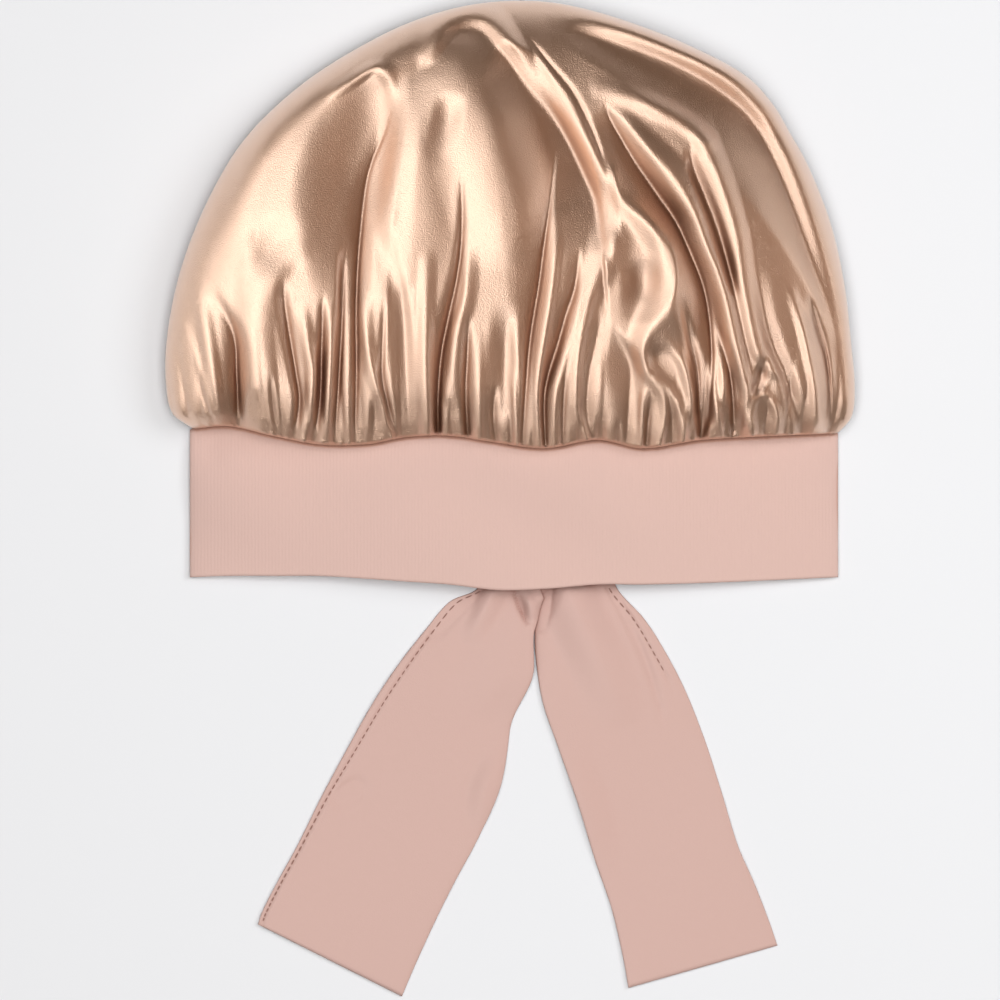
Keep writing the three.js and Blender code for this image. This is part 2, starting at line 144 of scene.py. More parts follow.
# Folds of the crown's upper layer. line: places it runs through, as shares of half CROWN_WIDTH and of
# CROWN_RISE; depth: at each of them, share of FOLD_DEPTH, minus where the cloth sinks; left, right: reach of
# the fold's two sides as seen along the line, shares of FOLD_REACH, one value or one for each place;
# crisp: from 0, a soft round fold, to 1, a sharp one.
Fold = namedtuple("Fold", "line depth left right crisp")
CROWN_FOLDS = [Fold(*row) for row in [
    # left side, near the seam
    ([(-0.88, -0.02), (-0.9, 0.12), (-0.93, 0.21), (-0.98, 0.28)], [0.3, 0.3, 0.2, 0], 0.8, 0.25, 0.6),
    ([(-0.85, -0.02), (-0.9, 0.1), (-0.91, 0.16)], [-0.4, -0.3, 0], 0.2, 0.25, 0.8),
    ([(-0.85, -0.02), (-0.88, 0.18), (-0.91, 0.33)], [0.5, 0.5, 0.1], 0.4, 0.45, 0.2),
    ([(-0.8, -0.02), (-0.8, 0.14), (-0.81, 0.24), (-0.87, 0.34)], [-1.1, -1.1, -0.7, 0], 0.9, 0.13, 0.8),
    ([(-0.73, -0.02), (-0.745, 0.22), (-0.74, 0.42)], [0.3, 0.5, 0.1], 0.9, 1.2, 0.0),
    ([(-0.75, -0.02), (-0.75, 0.06), (-0.75, 0.11)], [-0.5, -0.4, 0], 0.4, 0.5, 0.0),
    ([(-0.68, -0.02), (-0.695, 0.07), (-0.7, 0.14)], [-0.6, -0.5, 0], 0.3, 0.13, 0.7),
    ([(-0.72, 0.5), (-0.69, 0.43), (-0.68, 0.36)], [0, -0.3, 0], 1.4, 1.2, 0.0),
    ([(-0.72, 0.25), (-0.69, 0.35), (-0.65, 0.41), (-0.58, 0.42)], [0, 0.2, 0.2, 0], 0.9, 0.6, 0.1),
    ([(-0.64, -0.02), (-0.62, 0.08), (-0.63, 0.15), (-0.65, 0.25), (-0.67, 0.36)],
     [-0.8, -0.9, -0.8, -0.6, 0], [0.3, 0.3, 0.35, 0.4, 0.4], 0.3, 0.7),
    ([(-0.61, -0.02), (-0.58, 0.13), (-0.59, 0.2), (-0.61, 0.3)], [0.4, 0.4, 0.4, 0], 0.35, 0.3, 0.2),
    ([(-0.58, -0.02), (-0.56, 0.09), (-0.555, 0.2), (-0.55, 0.32)], [-0.9, -1, -0.8, 0], 0.27, 0.15, 0.9),
    ([(-0.55, -0.02), (-0.53, 0.18), (-0.53, 0.29)], [0.4, 0.4, 0.1], 0.25, 0.3, 0.3),
    ([(-0.52, -0.02), (-0.5, 0.21), (-0.495, 0.32), (-0.49, 0.43)], [-0.9, -1, -1, 0], 0.3, 0.5, 0.8),
    # the long crease left of the middle and the broad valley beside it
    ([(-0.46, -0.02), (-0.455, 0.16), (-0.455, 0.31), (-0.445, 0.45), (-0.42, 0.6), (-0.37, 0.7),
      (-0.35, 0.79)],
     [-0.8, -0.8, -0.9, -0.6, -0.25, -0.1, 0], [0.4, 0.5, 0.7, 1.0, 0.6, 0.5, 0.4], 0.12, 1.0),
    ([(-0.47, 0.28), (-0.45, 0.39), (-0.435, 0.5), (-0.415, 0.61), (-0.395, 0.72), (-0.385, 0.83)],
     [0, -0.7, -1.4, -1.8, -1.4, 0], [1.4, 2.2, 2.8, 3.0, 2.4, 1.2], 1.2, 0.0),
    ([(-0.52, 0.78), (-0.46, 0.81), (-0.4, 0.84), (-0.36, 0.81), (-0.35, 0.75)],
     [0.1, 0.3, 0.4, 0.3, 0], 0.4, 0.3, 0.2),
    # between that crease and the next
    ([(-0.35, -0.02), (-0.38, 0.08), (-0.41, 0.16), (-0.43, 0.25), (-0.435, 0.34)],
     [0.4, 0.5, 0.4, 0.3, 0], 0.4, [0.15, 0.2, 0.3, 0.4, 0.4], 0.5),
    ([(-0.335, -0.02), (-0.36, 0.06), (-0.38, 0.12), (-0.38, 0.2), (-0.37, 0.32)],
     [-0.6, -0.7, -0.5, -0.3, 0], 0.2, 0.4, 0.8),
    ([(-0.41, -0.02), (-0.4, 0.05), (-0.4, 0.1)], [-0.4, -0.4, 0], 0.3, 0.4, 0.2),
    ([(-0.37, 0.15), (-0.365, 0.27), (-0.365, 0.37)], [0.1, 0.15, 0], 0.15, 0.15, 0.8),
    ([(-0.37, 0.35), (-0.37, 0.42), (-0.38, 0.48)], [-0.1, -0.3, 0], 0.5, 0.6, 0.0),
    ([(-0.3, -0.02), (-0.31, 0.13), (-0.32, 0.29), (-0.34, 0.4)], [-0.4, -0.5, -0.4, 0], 0.7, 0.3, 0.2),
    ([(-0.25, -0.02), (-0.255, 0.2), (-0.25, 0.4)], [0.3, 0.4, 0.1], 0.4, 0.4, 0.1),
    ([(-0.29, 0.36), (-0.27, 0.64), (-0.23, 0.84)], [0.1, 0.3, 0], 0.8, 1.5, 0.0),
    ([(-0.03, 0.38), (-0.035, 0.48), (-0.045, 0.57), (-0.07, 0.66), (-0.11, 0.76), (-0.16, 0.85),
      (-0.19, 0.92)],
     [0, 0.5, 0.65, 0.7, 0.7, 0.6, 0], [1.2, 2.0, 2.4, 2.4, 2.2, 1.8, 1.0],
     [1.2, 1.8, 2.2, 2.2, 2.0, 1.6, 1.0], 0.1),
    ([(-0.21, 0.65), (-0.19, 0.73), (-0.18, 0.78)], [-0.1, -0.35, 0], 0.7, 0.7, 0.0),
    ([(-0.22, -0.02), (-0.22, 0.09), (-0.21, 0.19), (-0.19, 0.27), (-0.163, 0.37), (-0.15, 0.47),
      (-0.15, 0.6)],
     [-0.9, -1, -1, -0.8, -0.6, -0.4, 0], [0.35, 0.4, 0.6, 0.6, 0.4, 0.3, 0.3], 0.12, 1.0),
    ([(-0.19, 0.09), (-0.17, 0.23), (-0.14, 0.32), (-0.13, 0.44)], [0.2, 0.4, 0.3, 0], 0.25, 0.5, 0.2),
    # middle, near the seam
    ([(-0.13, -0.02), (-0.14, 0.09), (-0.135, 0.18), (-0.13, 0.27)], [-0.6, -0.6, -0.5, 0],
     0.27, 0.2, 0.7),
    ([(-0.09, -0.02), (-0.1, 0.09), (-0.1, 0.24)], [0.3, 0.35, 0], 0.35, 0.4, 0.1),
    ([(-0.03, 0.07), (-0.025, 0.19), (-0.02, 0.3)], [-0.2, -0.5, 0], 0.7, 0.5, 0.2),
    ([(-0.05, -0.02), (-0.06, 0.06), (-0.05, 0.12)], [-0.5, -0.4, 0], 0.25, 0.2, 0.6),
    ([(0.01, -0.02), (0.0, 0.09), (0.0, 0.16)], [0.3, 0.3, 0], 0.25, 0.15, 0.3),
    ([(0.023, -0.02), (0.035, 0.13), (0.047, 0.23), (0.07, 0.34), (0.085, 0.43), (0.1, 0.52),
      (0.12, 0.65)],
     [-0.7, -0.7, -0.8, -0.8, -0.6, -0.3, 0], [0.2, 0.3, 0.7, 1.3, 1.3, 0.9, 0.6], 0.12, 0.9),
    ([(0.065, -0.02), (0.07, 0.11), (0.087, 0.23), (0.11, 0.36), (0.125, 0.47)],
     [0.3, 0.4, 0.4, 0.3, 0], 0.4, 0.3, 0.1),
    ([(0.09, -0.02), (0.085, 0.09), (0.1, 0.15), (0.125, 0.21), (0.15, 0.28), (0.175, 0.34),
      (0.19, 0.43)],
     [-1, -1.1, -1, -0.8, -0.6, -0.4, 0], [0.2, 0.3, 0.45, 0.6, 0.6, 0.6, 0.5], 0.13, 1.0),
    ([(0.12, -0.02), (0.12, 0.09), (0.14, 0.17), (0.175, 0.27), (0.2, 0.37)],
     [0.3, 0.35, 0.3, 0.2, 0], 0.3, 0.3, 0.2),
    ([(0.14, -0.02), (0.142, 0.07), (0.15, 0.14)], [-0.5, -0.4, 0], 0.15, 0.17, 1.0),
    # the bright ridge and the flat dome to the right of the middle
    ([(0.22, -0.02), (0.187, 0.05), (0.183, 0.14), (0.195, 0.23), (0.22, 0.32), (0.26, 0.41),
      (0.29, 0.5)],
     [0.6, 0.7, 0.7, 0.6, 0.5, 0.5, 0.1], [0.4, 0.5, 0.5, 0.5, 0.6, 0.8, 0.9],
     [0.2, 0.2, 0.25, 0.3, 0.5, 0.9, 1], 0.3),
    ([(0.225, -0.02), (0.21, 0.06), (0.213, 0.14), (0.23, 0.21), (0.25, 0.28)],
     [-0.6, -0.7, -0.7, -0.6, 0], 0.17, 0.6, 0.4),
    ([(0.36, -0.02), (0.35, 0.09), (0.33, 0.18), (0.28, 0.25)], [-0.4, -0.6, -0.5, 0], 1.3, 0.2, 0.3),
    ([(0.245, -0.02), (0.245, 0.05)], [-0.4, 0], 0.25, 0.25, 0.2),
    ([(0.3, -0.02), (0.3, 0.04)], [-0.5, 0], 0.3, 0.2, 0.5),
    ([(0.367, -0.02), (0.37, 0.08), (0.38, 0.11)], [0.4, 0.4, 0], 0.15, 0.13, 0.3),
    ([(0.38, -0.02), (0.387, 0.05), (0.4, 0.09)], [-0.7, -0.6, 0], 0.15, 0.4, 0.8),
    # the winding fold and the dimple inside it
    ([(0.495, -0.02), (0.477, 0.06), (0.45, 0.105), (0.41, 0.135), (0.38, 0.165), (0.37, 0.2),
      (0.39, 0.24),
      (0.42, 0.27), (0.45, 0.3), (0.467, 0.35), (0.457, 0.42), (0.42, 0.46), (0.37, 0.495), (0.31, 0.54),
      (0.285, 0.6)],
     [0.4, 0.5, 0.5, 0.5, 0.6, 0.8, 1.0, 1.1, 1.2, 1.2, 1.1, 0.9, 0.7, 0.5, 0.2],
     [0.3, 0.3, 0.3, 0.3, 0.35, 0.6, 0.9, 1.1, 1.2, 1.2, 1.1, 0.9, 0.7, 0.5, 0.4],
     [0.3, 0.4, 0.4, 0.4, 0.5, 0.9, 1.4, 1.6, 1.7, 1.7, 1.5, 1.1, 0.8, 0.5, 0.3], 0.6),
    ([(0.365, 0.3), (0.37, 0.36), (0.367, 0.41)], [-0.2, -0.6, -0.1], 0.9, 0.8, 0.0),
    ([(0.25, 0.64), (0.22, 0.7), (0.17, 0.78), (0.11, 0.84), (0.04, 0.91)],
     [-0.2, -0.4, -0.4, -0.3, 0], 0.15, 0.2, 0.9),
    ([(0.42, -0.02), (0.437, 0.05), (0.43, 0.095), (0.4, 0.125), (0.37, 0.155)],
     [0.4, 0.5, 0.5, 0.5, 0.2], 0.3, 0.2, 0.3),
    # the arch at the top and the wide valley inside it
    ([(0.27, 0.44), (0.24, 0.58), (0.16, 0.71), (0.06, 0.81), (-0.005, 0.89), (-0.085, 0.96),
      (-0.19, 0.95),
      (-0.245, 0.87)],
     [0.2, 0.5, 0.5, 0.6, 0.8, 0.9, 0.8, 0.2],
     [0.35, 0.35, 0.35, 0.4, 0.5, 0.7, 0.7, 0.5], [0.5, 0.5, 0.5, 0.5, 0.6, 0.8, 0.8, 0.6], 0.1),
    ([(0.255, 0.42), (0.24, 0.53), (0.2, 0.6), (0.14, 0.7), (0.09, 0.77), (0.02, 0.85), (-0.03, 0.9)],
     [-0.5, -1.3, -1.7, -1.7, -1.4, -0.8, 0], [3.0, 3.2, 3.0, 2.7, 2.4, 2.0, 1.0], 0.25, 0.3),
    # valleys and branches to the right of the winding fold
    ([(0.56, 0.04), (0.57, 0.15), (0.565, 0.25), (0.545, 0.34), (0.505, 0.42), (0.46, 0.495),
      (0.4, 0.565),
      (0.345, 0.63), (0.285, 0.71), (0.26, 0.75)],
     [-0.4, -0.8, -1.1, -1.2, -1.4, -1.5, -1.4, -1.1, -0.6, 0],
     [0.7, 1.0, 1.4, 1.4, 1.2, 1.0, 1.0, 1.0, 1.0, 0.8], 0.2, 0.5),
    ([(0.7, -0.02), (0.667, 0.06), (0.672, 0.105), (0.643, 0.2), (0.61, 0.3), (0.58, 0.38), (0.55, 0.44),
      (0.507, 0.53), (0.45, 0.6), (0.38, 0.655), (0.31, 0.72)],
     [0.5, 0.6, 0.6, 0.7, 0.7, 0.8, 0.8, 0.8, 0.7, 0.6, 0.1],
     [0.27, 0.3, 0.35, 0.45, 0.6, 0.7, 0.7, 0.8, 0.9, 0.9, 0.6],
     [0.3, 0.3, 0.3, 0.4, 0.5, 0.5, 0.5, 0.6, 0.7, 0.7, 0.5], 0.2),
    ([(0.74, 0.15), (0.7, 0.2), (0.672, 0.3), (0.658, 0.36), (0.643, 0.45), (0.62, 0.52), (0.59, 0.59),
      (0.56, 0.66), (0.535, 0.71)],
     [0.4, 0.5, 0.6, 0.6, 0.6, 0.6, 0.6, 0.5, 0.1], [0.3, 0.35, 0.4, 0.5, 0.6, 0.6, 0.6, 0.7, 0.6],
     0.6, 0.1),
    ([(0.64, 0.32), (0.615, 0.39), (0.58, 0.48), (0.55, 0.54), (0.515, 0.61), (0.507, 0.65)],
     [0, -0.7, -0.7, -0.7, -0.6, 0], 0.3, 0.27, 0.3),
    ([(0.55, 0.67), (0.48, 0.72), (0.37, 0.76), (0.25, 0.79)], [0.3, 0.5, 0.4, 0.1], 0.5, 0.6, 0.0),
    # right rim
    ([(0.955, 0.09), (0.945, 0.25), (0.91, 0.385), (0.86, 0.515), (0.8, 0.635), (0.725, 0.745),
      (0.605, 0.83),
      (0.455, 0.89), (0.295, 0.935), (0.13, 0.965)],
     [0.2, 0.6, 0.8, 1.0, 1.1, 1.2, 1.2, 1.0, 0.7, 0.1], 0.7, 0.6, 0.0),
    ([(0.915, -0.02), (0.94, 0.1), (0.93, 0.22), (0.9, 0.33), (0.855, 0.425), (0.805, 0.525),
      (0.76, 0.61),
      (0.7, 0.695), (0.612, 0.76), (0.495, 0.815), (0.38, 0.86), (0.255, 0.9), (0.15, 0.935)],
     [-0.5, -0.7, -0.8, -0.9, -1.0, -1.2, -1.4, -1.5, -1.5, -1.3, -1.0, -0.6, 0],
     [0.3, 0.3, 0.4, 0.6, 0.9, 1.4, 1.9, 2.2, 2.2, 1.9, 1.4, 1.0, 0.8],
     [0.2, 0.3, 0.5, 0.8, 1.1, 1.3, 1.3, 1.3, 1.3, 1.3, 1.2, 1.0, 0.6], 0.1),
    # right side, near the seam
    ([(0.49, -0.02), (0.51, 0.065), (0.507, 0.115), (0.48, 0.18), (0.43, 0.22)],
     [0.5, 0.6, 0.6, 0.5, 0.1], 0.35, 0.25, 0.3),
    ([(0.54, -0.02), (0.533, 0.09), (0.527, 0.156), (0.51, 0.21), (0.48, 0.32)],
     [-0.9, -1, -0.9, -0.5, 0], 0.3, 0.3, 0.5),
    ([(0.61, -0.02), (0.582, 0.07), (0.573, 0.13), (0.577, 0.2)], [0.4, 0.5, 0.5, 0], 0.25, 0.2, 0.4),
    ([(0.635, 0.01), (0.632, 0.075), (0.625, 0.13), (0.605, 0.2), (0.576, 0.27)],
     [-0.9, -1.1, -1, -0.6, 0], 0.3, 0.27, 0.5),
    ([(0.69, 0.01), (0.69, 0.075), (0.716, 0.1), (0.745, 0.08), (0.763, 0.045), (0.757, -0.02)],
     [0.3, 0.4, 0.4, 0.4, 0.4, 0.3], 0.2, 0.2, 0.2),
    ([(0.7, 0.11), (0.715, 0.15), (0.727, 0.18)], [-0.5, -0.8, -0.2], 0.3, 0.3, 0.4),
    ([(0.827, 0.01), (0.81, 0.075), (0.78, 0.145), (0.75, 0.2), (0.72, 0.28), (0.7, 0.385)],
     [-0.6, -0.7, -0.6, -0.5, -0.3, 0], 0.4, 0.5, 0.4),
    ([(0.876, 0.03), (0.87, 0.11), (0.855, 0.18), (0.833, 0.25), (0.8, 0.33)],
     [0.4, 0.6, 0.6, 0.5, 0.1], 0.35, 0.27, 0.2),
    ([(0.908, -0.02), (0.914, 0.09), (0.902, 0.18), (0.876, 0.25), (0.85, 0.32)],
     [-0.8, -1, -1, -0.8, 0], 0.4, 0.3, 0.5),
    # rim of the left side and the upper left
    ([(-0.81, 0.42), (-0.775, 0.56), (-0.735, 0.64), (-0.69, 0.7), (-0.62, 0.76), (-0.5, 0.81),
      (-0.4, 0.84), (-0.3, 0.88), (-0.24, 0.92), (-0.17, 0.96)],
     [0, 0.25, 0.3, 0.3, 0.3, 0.3, 0.3, 0.3, 0.25, 0], 0.8, 1.0, 0.0),
]]

# Folds of the ties, in the same shares as the crown's
TIE_FOLDS = [Fold(*row) for row in [
    ([(0.0, -0.34), (0.02, -0.39), (0.04, -0.43)], [-1.2, -1.0, 0], 0.5, 0.2, 0.8),
    ([(0.03, -0.34), (0.045, -0.38), (0.05, -0.42)], [0.6, 0.5, 0], 0.4, 0.3, 0.4),
    ([(-0.05, -0.34), (-0.09, -0.4), (-0.14, -0.47)], [0.8, 0.6, 0], 0.7, 0.5, 0.2),
    ([(-0.11, -0.34), (-0.2, -0.42), (-0.25, -0.47)], [-0.3, -0.25, 0], 0.5, 0.5, 0.2),
    ([(-0.43, -0.78), (-0.48, -0.81), (-0.54, -0.84)], [0, -0.3, 0], 0.7, 0.5, 0.2),
    ([(-0.02, -0.7), (-0.08, -0.8), (-0.1, -0.9)], [0, 0.4, 0], 1.0, 0.7, 0.1),
    ([(0.11, -0.34), (0.09, -0.39), (0.075, -0.45)], [-1.2, -1.0, 0], 0.4, 0.4, 0.7),
    ([(0.16, -0.34), (0.2, -0.42), (0.26, -0.52), (0.33, -0.66)], [0.9, 0.9, 0.6, 0], 1.1, 1.4, 0.1),
    ([(0.28, -0.34), (0.35, -0.45), (0.4, -0.55), (0.44, -0.66)], [-0.25, -0.25, -0.2, 0], 0.3, 0.3, 0.5),
    ([(0.12, -0.7), (0.2, -0.85), (0.24, -1.0)], [0, 0.3, 0], 1.2, 1.0, 0.0),
]]

# The ties' own lines. root: where the tie's middle crosses the band's mouth, share of half BAND_WIDTH;
# heading: the way it runs, in degrees from -Y, plus towards +X; hem_side: the edge that is hemmed, 1 for
# +X; hem_length: share of the length in sight; over: 1 for the tie that climbs over the other. down: a share
# of the length in sight, or from -1 to 0 of the sewn end; side, width, skew: shares of TIE_WIDTH, skew being
# how much further down the +X edge lies.
Stretch = namedtuple("Stretch", "down side width skew")
TIES = {
    "tie_left": {
        "root": -0.028,
        "heading": -25.5,
        "hem_side": -1,
        "hem_length": 0.98,
        "over": 1,
        "stretches": [Stretch(*row) for row in [
            (-1.0, -0.06, 0.24, -0.1),
            (0.0, -0.01, 0.31, -0.12),
            (0.06, -0.06, 0.46, -0.13),
            (0.12, -0.08, 0.54, -0.25),
            (0.21, -0.06, 0.7, -0.31),
            (0.33, -0.03, 0.85, -0.29),
            (0.48, 0.02, 1.0, -0.25),
            (0.61, 0.02, 1.03, -0.21),
            (0.74, 0.01, 1.02, -0.23),
            (0.84, 0.0, 1.03, -0.22),
            (0.94, 0.0, 1.04, -0.12),
            (1.0, 0.01, 1.04, 0.02),
        ]],
    },
    "tie_right": {
        "root": 0.189,
        "heading": 17,
        "hem_side": 1,
        "hem_length": 0.24,
        "over": 0,
        "stretches": [Stretch(*row) for row in [
            (-1.0, 0.02, 0.32, 0.08),
            (0.0, 0.01, 0.48, 0.13),
            (0.09, 0.02, 0.68, 0.17),
            (0.16, 0.02, 0.79, 0.16),
            (0.28, 0.03, 0.9, 0.18),
            (0.41, 0.05, 0.92, 0.23),
            (0.55, 0.06, 0.91, 0.2),
            (0.69, 0.06, 0.91, 0.17),
            (0.8, 0.08, 0.93, 0.11),
            (0.91, 0.08, 0.97, 0.07),
            (0.98, 0.07, 1.0, 0.02),
        ]],
    },
}


def smooth(t):
    """From 0 to 1 without a corner while t goes from 0 to 1."""
    c = np.clip(t, 0, 1)
    return c * c * (3 - 2 * c)


def rising(value, start, span):
    """From 0 to 1 without a corner while the value goes from start to start + span."""
    return smooth((value - start) / span)


def column(rows, along, name, at):
    """Values of one column of a table at places along another, on a smooth curve through the rows."""
    place = np.array([getattr(row, along) for row in rows], float)
    value = np.array([getattr(row, name) for row in rows], float)
    return through(place, value, at)


def through(place, value, at):
    """A smooth curve through values at rising places."""
    low = np.maximum(np.arange(len(place)) - 1, 0)
    high = np.minimum(np.arange(len(place)) + 1, len(place) - 1)
    slope = (value[high] - value[low]) / (place[high] - place[low])
    at = np.clip(at, place[0], place[-1])
    i = np.clip(np.searchsorted(place, at, side="right"), 1, len(place) - 1)
    span = place[i] - place[i - 1]
    t = (at - place[i - 1]) / span
    return (
        (2 * t**3 - 3 * t**2 + 1) * value[i - 1]
        + (t**3 - 2 * t**2 + t) * slope[i - 1] * span
        + (3 * t**2 - 2 * t**3) * value[i]
        + (t**3 - t**2) * slope[i] * span
    )


def ring_faces(rows, count):
    """Four-cornered faces between closed rings of equal length."""
    r, c = np.meshgrid(np.arange(rows - 1), np.arange(count), indexing="ij")
    a, b = r * count + c, r * count + (c + 1) % count
    return np.stack([a, b, b + count, a + count], -1).reshape(-1, 4).tolist()


def flat_loop(columns):
    """Places round a flat piece, from -1 at its left side to 1 and back, close together at the sides, and
    which of them are on its upper layer."""
    angle = np.linspace(0, np.pi, columns // 2 + 1)
    t = np.concatenate([-np.cos(angle), np.cos(angle)[1:-1]])
    return t, np.arange(len(t)) <= columns // 2


def end_faces(first, count, point):
    """Three-cornered faces between a ring, given by its first point, and a point in its middle."""
    return [[first + i, first + (i + 1) % count, point] for i in range(count)]


def added(name, data):
    """A new object of the scene that holds this mesh, light or camera."""
    obj = bpy.data.objects.new(name, data)
    bpy.context.scene.collection.objects.link(obj)
    return obj


def cloth(name, points, faces, material):
    """A smooth-shaded mesh from points in millimetres in the seam's frame."""
    points = (np.asarray(points) + [ORIGIN_X, ORIGIN_Y, 0]) * 0.001
    mesh = bpy.data.meshes.new(name)
    mesh.from_pydata(points.tolist(), [], faces)
    mesh.validate()
    mesh.shade_smooth()
    mesh.materials.append(material)
    return added(name, mesh)


# Folds

STEPS = 6  # straight steps between two places on a fold's line
STEEPNESS = 1.6  # how much a fold's steep side may fall, for its reach
GROOVED = 0.5  # how sharp a fold has to be for a fine groove along its bottom
GROOVE_HALF = 0.9  # half the width of that groove
GROOVE_DEPTH = 1.3
GROOVE_WHOLE = 3 * GROOVE_DEPTH  # how deep a fold is where its groove has its full depth
GENTLE_REACH = 1.9  # how far a fold's gentle side reaches at least, for its depth
GENTLE_MOST = 9  # the most that this rule asks for


def fold_line(fold):
    """The fold's line in millimetres, and for each point of it which place of the table it belongs to."""
    places = np.arange(len(fold.line), dtype=float)
    fine = np.linspace(0, places[-1], STEPS * (len(places) - 1) + 1)
    u, v = np.array(fold.line).T
    return through(places, u * HALF_CROWN, fine), through(places, v * CROWN_RISE, fine), fine


def reach_along(value, share, last):
    """A reach given once or for each place of the line, at places along it."""
    values = np.atleast_1d(np.asarray(value, float))
    if len(values) == 1:
        return FOLD_REACH * values[0] + 0 * share
    return FOLD_REACH * through(np.linspace(0, last, len(values)), values, share)


def fold_height(fold, x, y):
    """How far one fold lifts or sinks the cloth at x, y. Its side towards -X when it lifts, and towards +X
    when it sinks, is the gentle one."""
    line_x, line_y, place = fold_line(fold)
    strongest = FOLD_DEPTH * max(abs(d) for d in fold.depth)
    widest = max(FOLD_REACH * np.max(fold.left), FOLD_REACH * np.max(fold.right), GENTLE_REACH * strongest)
    near = (x > line_x.min() - widest) & (x < line_x.max() + widest)
    near &= (y > line_y.min() - widest) & (y < line_y.max() + widest)
    px, py = x[near], y[near]
    nearest = np.full(px.shape, np.inf)
    share, side, upright = np.zeros(px.shape), np.zeros(px.shape), np.zeros(px.shape)
    for i in range(len(line_x) - 1):
        dx, dy = line_x[i + 1] - line_x[i], line_y[i + 1] - line_y[i]
        t = np.clip(((px - line_x[i]) * dx + (py - line_y[i]) * dy) / (dx * dx + dy * dy), 0, 1)
        off = np.hypot(px - line_x[i] - t * dx, py - line_y[i] - t * dy)
        closer = off < nearest
        nearest = np.where(closer, off, nearest)
        share = np.where(closer, place[i] + t * (place[i + 1] - place[i]), share)
        side = np.where(closer, dx * (py - line_y[i]) - dy * (px - line_x[i]), side)
        upright = np.where(closer, dy / math.hypot(dx, dy), upright)
    last = place[-1]
    left, right = reach_along(fold.left, share, last), reach_along(fold.right, share, last)
    depth = FOLD_DEPTH * through(np.linspace(0, last, len(fold.depth)), np.array(fold.depth, float), share)
    gentle_left = depth * upright > 0
    steep = np.where(gentle_left, right, left)
    depth = depth / (1 + np.abs(depth) / (STEEPNESS * steep))
    gentle = np.minimum(GENTLE_REACH * np.abs(depth), GENTLE_MOST)
    wider = np.abs(upright) * np.maximum(gentle - np.where(gentle_left, left, right), 0)
    left, right = left + np.where(gentle_left, wider, 0), right + np.where(gentle_left, 0, wider)
    s = np.clip(nearest / np.where(side > 0, left, right), 0, 1)
    height = np.zeros(x.shape)
    height[near] = depth * ((1 - fold.crisp) * (1 - s**2) ** 2 + fold.crisp * (1 - s) ** 2)
    if fold.crisp >= GROOVED:
        groove = np.clip(1 - nearest / GROOVE_HALF, 0, 1)
        height[near] -= GROOVE_DEPTH * groove * np.clip(-depth / GROOVE_WHOLE, 0, 1)
    return height


# Band

FOLD_SQUARENESS = 16  # how square the folded ends of the flattened band are
LENS_POWER = 1.3  # how soon its thickness falls off towards them
ARCH_MARGIN = 5  # how far the arch over the sewn ties reaches past them before it comes down
ARCH_FADE = 18  # how far it takes to come down
ARCH_RISE = TIE_WALL + 0.6  # its height: one tie and a clearance
SEAM_ROLL = 0.5  # height of the rolled edge that the seam gives the band
SEAM_ROLL_AT = 1.3  # how far below the seam it is highest
SEAM_ROLL_HALF = 0.7  # half its width
BAND_WAVE = 2.4  # height of the slow waves
WAVE_SLANT = 1.4  # how far they lean
WIDE_WAVE = 0.5  # share of BAND_WAVE in the wide waves
WIDE_WAVE_TURN = 5.5  # radians from the band's middle to its end
WIDE_WAVE_PHASE = 0.8
NARROW_WAVE = 0.3
NARROW_WAVE_TURN = 11
NARROW_WAVE_DOWN = 16  # millimetres down the band for one radian
DENT_DEPTH = 1.2  # the dent near the band's upper left corner
DENT_IN = 9  # its middle, in from the left end
DENT_DOWN = 7  # and down from the seam
DENT_WIDE = 6
DENT_TALL = 8
PULLS = (2.5, 6)  # least and greatest width of the small puckers that the seam pulls into the band
PULL_HEIGHT = 0.45
PULL_STRENGTHS = (0.2, 1)  # least and greatest share of that
PULL_FADE = 4  # how soon they die out below the seam
PULL_ALONG = 0.8  # how far they move the cloth along Y, for their height
LIP_DROP = 0.55  # how much thinner the wall gets at the two mouths
LIP_REACH = 0.8  # how far from a mouth it starts to
LIP_BULGE = 0.35  # how far the wall's rounded end stands out
GATHER_MARGIN = 1.05  # how far gathers reach past the crown's sides, as a share of its half width
GATHER_ROUNDNESS = 0.7  # 1 for the shape of a sine, less for a fuller one


def seam_at(x):
    return BAND_HEIGHT * column(BAND_EDGES, "at", "seam", x / HALF_BAND)


def mouth_at(x):
    return BAND_HEIGHT * (column(BAND_EDGES, "at", "mouth", x / HALF_BAND) - 1)


def outside_ties(x):
    """How far x lies outside the stretch of the mouth that the sewn ties take up."""
    low, high = np.inf, -np.inf
    for tie in TIES.values():
        half = float(column(tie["stretches"], "down", "width", 0.0)) * TIE_WIDTH / 2 + ARCH_MARGIN
        low = min(low, tie["root"] * HALF_BAND - half)
        high = max(high, tie["root"] * HALF_BAND + half)
    return np.maximum(np.maximum(low - x, x - high), 0)


def band_sides(x, below, wall=0.0):
    """Lowest and highest point of the flattened band at x, in a share of its height below the seam."""
    t = np.clip(np.abs(x) / HALF_BAND, 0, 1)
    fold = (BAND_EDGE / 2 - wall) * np.sqrt(1 - t**FOLD_SQUARENESS)
    lens = (BAND_LOFT - BAND_EDGE) * (1 - t * t) ** LENS_POWER
    over = ARCH_RISE * (1 - smooth(outside_ties(x) / ARCH_FADE))
    lift = over * smooth(below * BAND_HEIGHT / (BAND_HEIGHT - TIE_OVERLAP))
    return BAND_EDGE / 2 - fold + lift, BAND_EDGE / 2 + fold + lens


